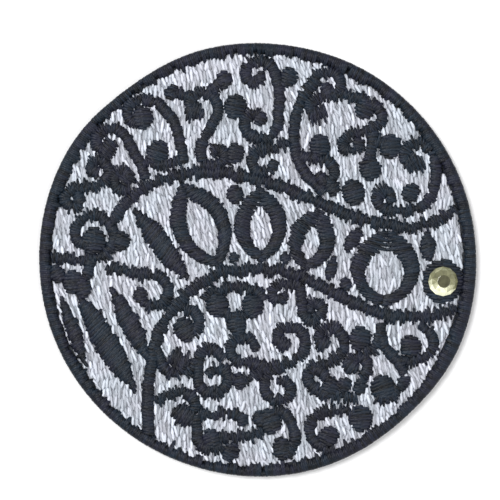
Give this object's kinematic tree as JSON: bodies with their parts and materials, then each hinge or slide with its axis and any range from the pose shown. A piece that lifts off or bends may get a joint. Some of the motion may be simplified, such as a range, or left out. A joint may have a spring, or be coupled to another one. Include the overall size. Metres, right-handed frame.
{
  "type": "embroidered award patch",
  "caption": "Round embroidered cloth patch with satin scrollwork, a leaf band between two curved rails, a raised border and a small faceted stone.",
  "frame": {"origin": "centre of the bounding box at the back face that the patch lies on", "axes": "+Z out of the embroidered face, +X to the right and +Y to the top of the design"},
  "size_m": [0.0766, 0.076, 0.0038],
  "materials": {
    "backing": "dark polyester twill with a pressed backing film",
    "white_thread": "lustrous white embroidery thread in long fill stitches",
    "dark_thread": "lustrous blue-black embroidery thread in satin stitch",
    "stone": "cut glass with a foiled back, pale champagne"
  },
  "bodies": {
    "root": {"ground_cloth": "backing", "white_fill": "white_thread", "border": "dark_thread", "upper_rail": "dark_thread", "lower_rail": "dark_thread", "scrolls_upper_left": "dark_thread", "scrolls_top": "dark_thread", "scrolls_cartouche": "dark_thread", "scrolls_left": "dark_thread", "scrolls_dome_left": "dark_thread", "scrolls_dome_middle": "dark_thread", "scrolls_dome_right": "dark_thread", "scrolls_foot": "dark_thread", "satin_dot": "dark_thread", "band_leaves": "dark_thread", "side_blades": "dark_thread", "rhinestone": "stone"}
  },
  "joints": []
}
